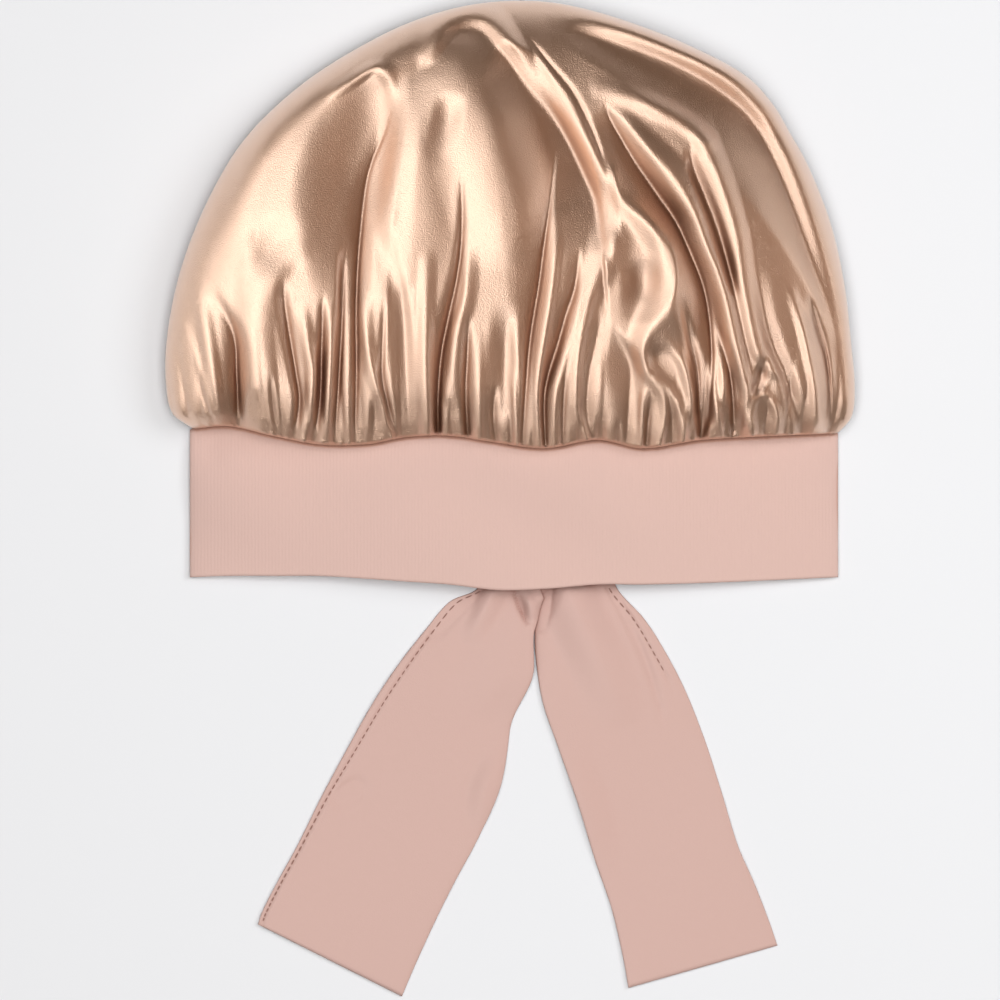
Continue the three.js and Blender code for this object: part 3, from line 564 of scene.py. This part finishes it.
def gathers(x, low, high, rng):
    """Small puckers side by side along the seam: their shape at x, and each one's number there."""
    edges = [-HALF_CROWN * GATHER_MARGIN]
    while edges[-1] < HALF_CROWN * GATHER_MARGIN:
        edges.append(edges[-1] + rng.uniform(low, high))
    edges = np.array(edges)
    i = np.clip(np.searchsorted(edges, x) - 1, 0, len(edges) - 2)
    share = np.clip((x - edges[i]) / (edges[i + 1] - edges[i]), 0, 1)
    return np.sin(np.pi * share) ** GATHER_ROUNDNESS, i, len(edges)


def band_relief(x, y, below):
    """The rolled edge along the seam, the slow waves of the band's upper side and the dent in it."""
    from_seam = below * BAND_HEIGHT
    roll = SEAM_ROLL * np.exp(-(((from_seam - SEAM_ROLL_AT) / SEAM_ROLL_HALF) ** 2))
    slant = (x + WAVE_SLANT * y) / HALF_BAND
    wide = WIDE_WAVE * np.sin(WIDE_WAVE_TURN * slant + WIDE_WAVE_PHASE)
    narrow = NARROW_WAVE * np.sin(NARROW_WAVE_TURN * slant - y / NARROW_WAVE_DOWN)
    across, down = (x + HALF_BAND - DENT_IN) / DENT_WIDE, (from_seam - DENT_DOWN) / DENT_TALL
    dent = DENT_DEPTH * np.exp(-(across**2) - down**2)
    return roll + BAND_WAVE * (wide + narrow) * np.sin(np.pi * below) - dent


def band_piece(material):
    rng = np.random.default_rng(SEED)
    t, upper = flat_loop(BAND_COLUMNS)
    x = HALF_BAND * t
    ripple, number, count = gathers(x, *PULLS, rng)
    strength = rng.uniform(*PULL_STRENGTHS, count)[number]

    def ring(below, drop, wall):
        low, high = band_sides(x, below, wall)
        pull = np.exp(-(below * BAND_HEIGHT) / PULL_FADE) * PULL_HEIGHT * (ripple - 0.5) * strength
        y = seam_at(x) * (1 - below) + mouth_at(x) * below
        z = np.where(upper, high - drop + pull + band_relief(x, y, below), low + drop)
        inner_x = x * (1 - wall / HALF_BAND)
        return np.stack([inner_x, y + pull * PULL_ALONG, z], -1)

    belows = np.array(BAND_ROWS)
    distance = np.minimum(belows, 1 - belows) * BAND_HEIGHT
    drops = LIP_DROP * np.clip(1 - distance / LIP_REACH, 0, 1) ** 2
    outer = [ring(b, d, 0.0) for b, d in zip(belows[::-1], drops[::-1])]
    inner = [ring(b, -d, BAND_WALL) for b, d in zip(belows[::2], drops[::2])]
    seam_end = (outer[-1] + inner[0]) / 2 + [0, LIP_BULGE, 0]
    mouth_end = (outer[0] + inner[-1]) / 2 - [0, LIP_BULGE, 0]
    rings = outer + [seam_end] + inner + [mouth_end]
    points = np.concatenate(rings)
    closed = np.array(ring_faces(len(rings) + 1, len(t))) % len(points)
    return cloth("jersey_band", points, closed.tolist(), material)


# Crown

SECTION_POWER = 6.5  # how flat a section's middle is
SECTION_ROUNDNESS = 0.52  # how steep its sides are
RIM_SHARE = 0.05  # share of a section's half width over which the underside rolls up
POLE_SHARE = 0.04  # share of the rise over which the far end rolls up
SEAM_WAVE_FADE = 8  # how soon the seam's wave dies out up the crown
SWELL = 0.5  # how far from the seam the crown has swollen to its full section
NECK_SHARE = 0.985  # half width of the neck, share of half BAND_WIDTH
NECK_CLEARANCE = 0.3  # between the neck and the band's inside
FOLD_START = 0.03  # share of a section's rise below which its folds fade out
FOLD_FULL = 0.2  # share of it above which they are whole
UNDULATIONS = (70, 48, 36, 27, 21, 16)  # lengths of the loose cloth's slow waves
UNDULATION_RISE = 0.003  # height of each, for its length
UNDULATION_TURN = 0.5  # how far each may turn out of the crown's width, in radians
UNDULATION_CHANGE = 0.4  # share of its height that comes and goes up the crown
UNDULATION_CHANGE_LENGTH = 23  # millimetres up the crown for one radian of that
PUCKER_HEIGHTS = (0.3, 1)  # least and greatest share of their height that the seam's gathers have
PUCKER_LENGTHS = (0.5, 1.3)  # and of their length
PUCKER_FADE = 1.3  # how suddenly they die out
PUCKER_LEAN = 0.001  # how much they spread up the crown, for each millimetre
LINING_SIDE = 1.5 * CROWN_WALL  # how far inside the rim the inner side stays
LINING_LEAST = 2 * CROWN_WALL  # how high its upper layer is at least
POLE_BULGE = 0.2  # how far the crown's last point stands out

# The small gathers along the seam. low, high: least and greatest width; tall: height; long: length
Puckers = namedtuple("Puckers", "low high tall long")
SEAM_PUCKERS = [Puckers(1.6, 3.6, 1.0, 4), Puckers(5, 11, 3.2, 18)]


def undulation(x, y, rng):
    """Slow uneven waves of loose cloth."""
    total = np.zeros(x.shape)
    for length in UNDULATIONS:
        turn = rng.uniform(-UNDULATION_TURN, UNDULATION_TURN)
        phase = rng.uniform(0, 2 * np.pi)
        along = x * math.cos(turn) + y * math.sin(turn)
        uneven = 1 - UNDULATION_CHANGE + UNDULATION_CHANGE * np.sin(y / UNDULATION_CHANGE_LENGTH + phase)
        total += UNDULATION_RISE * length * np.sin(2 * np.pi * along / length + phase) * uneven
    return total


def seam_puckers(x, y, rng):
    """The small gathers along the seam, dying out up the crown."""
    total = np.zeros(x.shape)
    for puckers in SEAM_PUCKERS:
        shape, number, count = gathers(x, puckers.low, puckers.high, rng)
        height = rng.uniform(*PUCKER_HEIGHTS, count)[number] * puckers.tall
        length = rng.uniform(*PUCKER_LENGTHS, count)[number] * puckers.long
        total += height * (shape - 0.5) * np.exp(-((np.maximum(y, 0) / length) ** PUCKER_FADE))
    return total


def crown_columns():
    """Places round the crown, from -1 at its left side to 1 and back, and which are on its upper layer."""
    flat = np.linspace(-1, 1, CROWN_COLUMNS + 1)
    top = (1 - COLUMNS_TO_RIM) * flat + COLUMNS_TO_RIM * np.sin(flat * np.pi / 2)
    under = np.cos(np.pi * np.arange(1, CROWN_UNDER_COLUMNS) / CROWN_UNDER_COLUMNS)
    t = np.concatenate([top, under])[None, :]
    return t, (np.arange(t.size) <= CROWN_COLUMNS)[None, :]


def crown_outline(rise):
    """The crown's left and right side and its loft at each row, on curves through its sections."""
    place = np.arcsin([row.rise for row in CROWN_SECTIONS])
    for name in ("left", "right", "loft"):
        yield through(place, np.array([getattr(row, name) for row in CROWN_SECTIONS]), np.arcsin(rise))


def crown_relief(x, y, above):
    """All that lifts or sinks the upper layer: its folds, its slow waves and the gathers at the seam."""
    rng = np.random.default_rng(SEED)
    folds = sum(fold_height(fold, x, y) for fold in CROWN_FOLDS)
    folds = folds + undulation(x, y, rng) + seam_puckers(x / (1 + PUCKER_LEAN * above), above, rng)
    return soften(folds)


def crown_rings():
    """Rings round the crown from the seam to the far end, each from its left edge over the top and back."""
    t, upper = crown_columns()
    rise = (np.sin(np.pi / 2 * np.linspace(0, LAST_ROW, CROWN_ROWS)) ** ROWS_TO_SEAM)[:, None]
    left, right, loft = crown_outline(rise)
    x = HALF_CROWN * (left + (right - left) * (t + 1) / 2)
    y = rise * CROWN_RISE + (1 - rise) ** SEAM_WAVE_FADE * seam_at(x)
    off = np.abs(t)
    pole = np.clip((rise - 1 + POLE_SHARE) / POLE_SHARE, 0, 1)
    roll = np.clip((off - 1 + RIM_SHARE) / RIM_SHARE, 0, 1)
    bottom = CROWN_EDGE * (1 - np.sqrt(1 - np.maximum(roll, pole) ** 2))
    dome = (1 - off**SECTION_POWER) ** SECTION_ROUNDNESS
    folds = crown_relief(x, y, rise * CROWN_RISE + 0 * x)
    inside = smooth((dome - FOLD_START) / (FOLD_FULL - FOLD_START))
    highest = np.maximum(CROWN_EDGE, loft * CROWN_LOFT)
    z = np.where(upper, CROWN_EDGE + (highest - CROWN_EDGE) * dome + folds * inside, bottom)
    swell = np.sqrt(1 - (1 - np.clip(rise * CROWN_RISE / SWELL, 0, 1)) ** 2)
    neck_x = NECK_SHARE * HALF_BAND * t
    neck_low, neck_high = band_sides(neck_x, 0.0)
    neck_z = np.where(upper, neck_high - BAND_WALL - NECK_CLEARANCE, neck_low + BAND_WALL + NECK_CLEARANCE)
    neck_z = np.where(off == 1, (neck_low + neck_high) / 2, neck_z)
    x = neck_x + (x - neck_x) * swell
    z = neck_z + (z - neck_z) * swell
    tucked = np.stack([neck_x[0], seam_at(neck_x[0]) - TUCK, neck_z[0]], -1)
    return np.concatenate([tucked[None], np.stack([x, y, z], -1)]), upper[0]


def soften(height):
    """Rounds the sharpest creases a little, as cloth does."""
    for axis in (0, 1):
        before, after = np.roll(height, 1, axis), np.roll(height, -1, axis)
        height = 0.25 * before + 0.5 * height + 0.25 * after
    return height


def lining_rings(rings, upper):
    """The crown's inner side: fewer rings and columns, nowhere outside the outer side."""
    low = rings[:, :, 2]
    for _ in range(LINING_STEP):
        low = np.minimum(low, np.minimum(np.roll(low, 1, 1), np.roll(low, -1, 1)))
        low = np.minimum(low, np.vstack([low[1:], low[-1:]]))
        low = np.minimum(low, np.vstack([low[:1], low[:-1]]))
    rows = list(range(0, len(rings) - LINING_SHORT * LINING_STEP, LINING_STEP))
    inner = rings[rows][:, ::LINING_COLUMN_STEP].copy()
    low, up = low[rows][:, ::LINING_COLUMN_STEP], upper[::LINING_COLUMN_STEP][None, :]
    middle = (inner[:, :1, 0] + inner[:, CROWN_COLUMNS // LINING_COLUMN_STEP, 0][:, None]) / 2
    half = np.abs(inner[:, :1, 0] - middle)
    inner[:, :, 0] = middle + (inner[:, :, 0] - middle) * (1 - LINING_SIDE / half)
    inner[:, :, 2] = np.where(up, np.maximum(low - CROWN_WALL, LINING_LEAST), inner[:, :, 2] + CROWN_WALL)
    return inner


def crown_piece(material):
    rings, upper = crown_rings()
    inner = lining_rings(rings, upper)
    count, few, step = rings.shape[1], inner.shape[1], LINING_COLUMN_STEP
    outside = len(rings) * count
    far = rings[-1].mean(0) + [0, POLE_BULGE, 0]
    near = inner[-1].mean(0) + [0, CROWN_WALL, 0]
    points = np.concatenate([rings.reshape(-1, 3), inner.reshape(-1, 3), [far], [near]])
    faces = ring_faces(len(rings), count)
    faces += [[corner + outside for corner in face[::-1]] for face in ring_faces(len(inner), few)]
    last, last_inner = outside - count, outside + (len(inner) - 1) * few
    faces += end_faces(last, count, len(points) - 2)
    faces += [face[::-1] for face in end_faces(last_inner, few, len(points) - 1)]
    for j in range(few):
        a, b = outside + j, outside + (j + 1) % few
        faces += [[(j * step + k + 1) % count, (j * step + k) % count, a] for k in range(step)]
        faces.append([(j + 1) * step % count, a, b])
    return cloth("satin_crown", points, faces, material)


# Ties. Shares of the length are of what is in sight.

TIE_SQUARENESS = 30  # how square a tie's long edges are
TIE_END_ROUND = 1.2  # length over which its free end rounds off
TIE_END_WALL = 0.25  # thickness left there, share of TIE_WALL
TIE_WAVE = 0.4  # half the height of its slow waves
TIE_WAVE_TURN = 9  # radians along the length
TIE_WAVE_SLANT = 1.3  # radians from its middle to its edge
TIE_WAVE_START = 0.3  # share of the length over which they come up
TIE_FOLD_START = 0.02  # share of it over which its folds come out from under the band
TIE_SINK = 0.5  # how far a fold or the hem may sink it
OVER_RISE = TIE_WALL + 0.5  # how far the left tie climbs over the right one
OVER_WIDTH = 7  # how far it reaches over it
OVER_INNER = -0.1  # where across the tie it starts to climb, from -1 to 1
OVER_SLOPE = 0.7  # and over how much of that
OVER_SEWN = 0.2  # share of the sewn end over which it climbs
OVER_LENGTH = 0.2  # share of the length after which it comes down
OVER_FADE = 0.16  # and over how much of it
HEM_TOP = 0.8  # where across the tie the hem starts at the band, from the middle to the edge
HEM_END = 0.95  # where it ends
HEM_RUN = 0.8  # share of the length over which it moves there
HEM_DEPTH = 0.5
HEM_HALF = 0.7  # half the width of its groove
HEM_START = 0.03  # share of the length over which the groove comes up
HEM_FADE = 0.06  # and over which it dies out
STITCH_START = 0.01  # share of the length where the first stitch starts
STITCH_LENGTH = 2.2
STITCH_GAP = 1.0
STITCH_HALF = 0.22  # half its thickness
STITCH_TAPER = (0.4, 1, 1, 0.4)  # share of that at its four rings
STITCH_SIDES = 6
STITCH_LIFT = 0.1  # how far its middle lies above the cloth


def tie_surface(tie, share, t):
    """Middle of the tie's cloth at a share of its length in sight and t from -1 to 1 across it."""
    turn = math.radians(tie["heading"])
    down = np.array([math.sin(turn), -math.cos(turn)])
    sideways = np.array([math.cos(turn), math.sin(turn)])
    root = tie["root"] * HALF_BAND
    side, width, skew = (
        TIE_WIDTH * column(tie["stretches"], "down", name, share) for name in ("side", "width", "skew")
    )
    along = share * np.where(share < 0, TIE_OVERLAP, TIE_LENGTH - TIE_OVERLAP) + skew * t / 2
    over = tie["over"] * rising(t, OVER_INNER, OVER_SLOPE)
    over = over * (1 - rising(share, OVER_LENGTH, OVER_FADE)) * rising(share, -OVER_SEWN, OVER_SEWN)
    across = side + width * t / 2 + OVER_WIDTH * over
    x = root + down[0] * along + sideways[0] * across
    y = float(mouth_at(root)) + down[1] * along + sideways[1] * across
    wave = TIE_WAVE * (1 + np.sin(share * TIE_WAVE_TURN + t * TIE_WAVE_SLANT))
    wave = wave * rising(share, 0, TIE_WAVE_START)
    hem = (t - hem_at(tie, share)) * width / 2
    sewn = rising(share, 0, HEM_START) * (1 - rising(share, tie["hem_length"], HEM_FADE))
    groove = HEM_DEPTH * np.exp(-((hem / HEM_HALF) ** 2)) * sewn
    folds = sum(fold_height(fold, x, y) for fold in TIE_FOLDS) * smooth(share / TIE_FOLD_START + 0.5)
    raised = wave + OVER_RISE * over
    z = TIE_WALL / 2 + raised + np.maximum(folds - groove, -TIE_SINK - raised)
    return np.stack([x, y, z], -1)


def hem_at(tie, share):
    """Where across the tie its stitched hem runs, from -1 to 1."""
    return tie["hem_side"] * (HEM_TOP + (HEM_END - HEM_TOP) * rising(share, 0, HEM_RUN))


def tie_piece(name, material):
    tie = TIES[name]
    t, upper = flat_loop(TIE_COLUMNS)
    last = tie["stretches"][-1].down
    share = np.concatenate([[-1, -0.5], np.linspace(0, last, TIE_ROWS)])[:, None]
    edge = np.sqrt(1 - np.abs(t) ** TIE_SQUARENESS)
    near_end = np.clip((share - last) * TIE_LENGTH / TIE_END_ROUND + 1, 0, 1)
    half = TIE_WALL / 2 * edge * (TIE_END_WALL + (1 - TIE_END_WALL) * np.sqrt(1 - near_end**2))
    rings = tie_surface(tie, share, t)
    rings[:, :, 2] += np.where(upper, half, -half)
    rings[:, :, 2] = np.maximum(rings[:, :, 2], 0)
    count, final = len(t), rings[:-1].size // 3
    points = np.concatenate([rings.reshape(-1, 3), [rings[0].mean(0)], [rings[-1].mean(0)]])
    faces = ring_faces(len(rings), count) + end_faces(final, count, len(points) - 1)
    faces = [face[::-1] for face in faces] + end_faces(0, count, len(points) - 2)
    return cloth(name + "_cloth", points, faces, material)


def stitches_piece(name, material):
    """The row of stitches along the tie's hem, each a short rounded bar half sunk in the cloth."""
    tie = TIES[name]
    pitch = STITCH_LENGTH + STITCH_GAP
    length = tie["hem_length"]
    count = int((TIE_LENGTH - TIE_OVERLAP) * length / pitch)
    starts = STITCH_START + (length - STITCH_START) * np.arange(count) / count
    span = STITCH_LENGTH / (TIE_LENGTH - TIE_OVERLAP)
    turn = np.linspace(0, 2 * np.pi, STITCH_SIDES, endpoint=False)
    rings, corners = len(STITCH_TAPER), len(STITCH_TAPER) * STITCH_SIDES
    points, faces = [], []
    for number, start in enumerate(starts):
        place = np.linspace(start, start + span, rings)[:, None]
        line = tie_surface(tie, place, hem_at(tie, place))[:, 0] + [0, 0, TIE_WALL / 2 + STITCH_LIFT]
        way = (line[-1] - line[0])[:2] / np.linalg.norm((line[-1] - line[0])[:2])
        round_it = np.stack([-way[1] * np.cos(turn), way[0] * np.cos(turn), np.sin(turn)], -1)
        points += [centre + STITCH_HALF * wide * round_it for centre, wide in zip(line, STITCH_TAPER)]
        first, end = number * corners, (number + 1) * corners
        faces += (np.array(ring_faces(rings, STITCH_SIDES)) + first).tolist()
        faces += [list(range(first, first + STITCH_SIDES)), list(range(end - 1, end - 1 - STITCH_SIDES, -1))]
    return cloth(name + "_stitches", np.concatenate(points), faces, material)


# Materials

# The rays feel how shut in the cloth is, for the shade painted into its creases.
OPENNESS_RAYS = 12  # how many rays feel how open a place is


def new_material(name, **inputs):
    """A material with these inputs of its shader, their names with _ for each space."""
    material = bpy.data.materials.new(name)
    material.use_nodes = True
    tree = material.node_tree
    shader = tree.nodes["Principled BSDF"]
    for key, value in inputs.items():
        shader.inputs[key.replace("_", " ")].default_value = value
    return material, tree, shader


def textured(tree, kind, scale, **settings):
    """A procedural texture in the object's own coordinates."""
    place = tree.nodes.new("ShaderNodeTexCoord")
    node = tree.nodes.new(kind)
    node.inputs["Scale"].default_value = scale
    for key, value in settings.items():
        if key in node.inputs:
            node.inputs[key].default_value = value
        else:
            setattr(node, key, value)
    tree.links.new(place.outputs["Object"], node.inputs["Vector"])
    return node


def bumped(tree, shader, sources):
    """Bumps the shader's surface by each (node, output name, strength, distance in metres)."""
    normal = None
    for node, output, strength, distance in sources:
        bump = tree.nodes.new("ShaderNodeBump")
        bump.inputs["Strength"].default_value = strength
        bump.inputs["Distance"].default_value = distance
        tree.links.new(node.outputs[output], bump.inputs["Height"])
        if normal:
            tree.links.new(normal, bump.inputs["Normal"])
        normal = bump.outputs["Normal"]
    tree.links.new(normal, shader.inputs["Normal"])


def shaded_creases(tree, shader, painted_shade, open_colour, reach, low, high):
    """Paints shade into the colour: a dark shade colour where the cloth is shut in, turning to open_colour,
    the cloth's own colour, on its open faces. reach: how far off other cloth counts, in metres; low, high:
    how open a place is where each colour is whole."""
    shut_in = tree.nodes.new("ShaderNodeAmbientOcclusion")
    shut_in.samples = OPENNESS_RAYS
    shut_in.inputs["Distance"].default_value = reach
    ramp = tree.nodes.new("ShaderNodeValToRGB")
    first, last = ramp.color_ramp.elements
    first.position, first.color = low, (*painted_shade, 1)
    last.position, last.color = high, (*open_colour, 1)
    tree.links.new(shut_in.outputs["AO"], ramp.inputs["Fac"])
    tree.links.new(ramp.outputs["Color"], shader.inputs["Base Color"])


def crown_satin():
    material, tree, shader = new_material(
        "crown satin", Metallic=0.95, Roughness=0.38, Coat_Weight=1.0, Coat_IOR=1.7, Coat_Roughness=0.35
    )
    # Painted shade: the base colour darkens to a warm dark brown where the crown's folds and creases shut
    # the satin in.
    painted_shade, open_colour = (0.2, 0.07, 0.025), (0.8, 0.54, 0.39)
    shaded_creases(tree, shader, painted_shade, open_colour, reach=0.016, low=0.5, high=1.0)
    grain = textured(tree, "ShaderNodeTexNoise", 2200, Detail=0.0)
    bumped(tree, shader, [(grain, "Fac", 0.6, 0.00025)])
    return material


def band_jersey():
    material, tree, shader = new_material("band jersey", Roughness=0.75)
    # Painted shade: the base colour darkens where the jersey is shut in, in its creases and beside the
    # crown.
    painted_shade, open_colour = (0.45, 0.26, 0.2), (0.625, 0.435, 0.385)
    shaded_creases(tree, shader, painted_shade, open_colour, reach=0.006, low=0.3, high=0.9)
    wale = textured(tree, "ShaderNodeTexWave", 220, bands_direction="X", Distortion=1.5)
    grain = textured(tree, "ShaderNodeTexNoise", 1500, Detail=2.0)
    bumped(tree, shader, [(wale, "Fac", 0.22, 0.0002), (grain, "Fac", 0.3, 0.0002)])
    return material


def tie_satin():
    material, tree, shader = new_material("tie satin", Roughness=0.55)
    # Painted shade: the base colour darkens where the tie's cloth is shut in, in its folds and where it lies
    # under the band or the other tie.
    painted_shade, open_colour = (0.3, 0.15, 0.12), (0.57, 0.38, 0.335)
    shaded_creases(tree, shader, painted_shade, open_colour, reach=0.006, low=0.4, high=0.95)
    grain = textured(tree, "ShaderNodeTexNoise", 1500, Detail=2.0)
    bumped(tree, shader, [(grain, "Fac", 0.3, 0.0002)])
    return material


def tie_thread():
    return new_material("tie thread", Base_Color=(0.26, 0.14, 0.11, 1), Roughness=0.6)[0]


def floor_paper():
    inputs = {"Base_Color": (0.765, 0.785, 0.81, 1), "Roughness": 0.9, "Specular_IOR_Level": 0.1}
    return new_material("pale floor", **inputs)[0]


# Stage. Lengths here are metres.

FLOOR_HALF = 3.0
FLOOR_DROP = 0.0002  # how far the floor lies below the bonnet, so that the two don't share a face
WORLD_COLOUR = (1, 0.7, 0.5, 1)
WORLD_STRENGTH = 0.1
WHITE = (1, 1, 1)
AMBER = (1, 0.55, 0.34)  # the warm glow in the folds' right sides
CAMERA_LENS = 300  # long, so that the view has almost no perspective
SENSOR_WIDTH = 36
VIEW_WIDTH = 0.42  # how much of the floor the picture shows
VIEW_MIDDLE = (-0.0042, -0.0003)


def floor_piece():
    mesh = bpy.data.meshes.new("floor")
    far, z = FLOOR_HALF, -FLOOR_DROP
    mesh.from_pydata([(-far, -far, z), (far, -far, z), (far, far, z), (-far, far, z)], [], [(0, 1, 2, 3)])
    mesh.materials.append(floor_paper())
    return added("floor", mesh)


def softbox(name, place, size, power, colour=WHITE, diffuse=True, glossy=True):
    """A flat light aimed at the origin. diffuse, glossy: whether it lights the colours, and whether it
    shines in the cloth."""
    light = bpy.data.lights.new(name, "AREA")
    light.shape = "RECTANGLE"
    light.size, light.size_y = size
    light.energy = power
    light.color = colour
    obj = added(name, light)
    obj.location = place
    obj.rotation_euler = (-Vector(place)).to_track_quat("-Z", "Y").to_euler()
    obj.visible_diffuse, obj.visible_glossy = diffuse, glossy


def world():
    """A faint warm light from all sides."""
    surroundings = bpy.data.worlds.new("studio")
    bpy.context.scene.world = surroundings
    surroundings.use_nodes = True
    background = surroundings.node_tree.nodes["Background"]
    background.inputs["Color"].default_value = WORLD_COLOUR
    background.inputs["Strength"].default_value = WORLD_STRENGTH


def lights():
    """A key from the right and a fill above light the colours. The rest only shines: two large panels on the
    left make every slope that faces them bright, and the others keep the slopes that face away from going
    black."""
    softbox("key", (1.16, 0.42, 1.58), (0.9, 0.9), 12.5, glossy=False)
    softbox("fill", (0, 0, 2.6), (1.5, 1.5), 61, glossy=False)
    softbox("left panel", (-0.85, -0.35, 2.4), (4.2, 1.7), 52, diffuse=False)
    softbox("low left panel", (-2.1, -0.2, 1.35), (3.4, 1.5), 21, diffuse=False)
    softbox("warm panel", (1.3, 0, 1.6), (2.0, 2.0), 2.6, AMBER, diffuse=False)
    softbox("right strip", (1.93, 0.2, 0.6), (1.6, 0.5), 5, diffuse=False)
    softbox("left strip", (-1.93, 0.3, 0.5), (1.2, 0.4), 2, diffuse=False)


def camera():
    data = bpy.data.cameras.new("camera")
    data.lens = CAMERA_LENS
    data.sensor_width = SENSOR_WIDTH
    obj = added("camera", data)
    obj.location = (*VIEW_MIDDLE, VIEW_WIDTH * CAMERA_LENS / SENSOR_WIDTH)
    bpy.context.scene.camera = obj


crown = crown_piece(crown_satin())
band = band_piece(band_jersey())
tie_cloth = tie_satin()
ties = {name: tie_piece(name, tie_cloth) for name in TIES}
thread = tie_thread()
stitches = [stitches_piece(name, thread) for name in TIES]

for piece, node, slot in [
    (crown, "crown", "crown_satin"),
    (band, "band", "band_jersey"),
    (ties["tie_left"], "tie_left", "tie_satin"),
    (ties["tie_right"], "tie_right", "tie_satin"),
]:
    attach(piece, "root")
    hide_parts(node)

for row in stitches:
    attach(row, "root")

floor_piece()
world()
lights()
camera()
bpy.context.scene.view_settings.view_transform = "Standard"
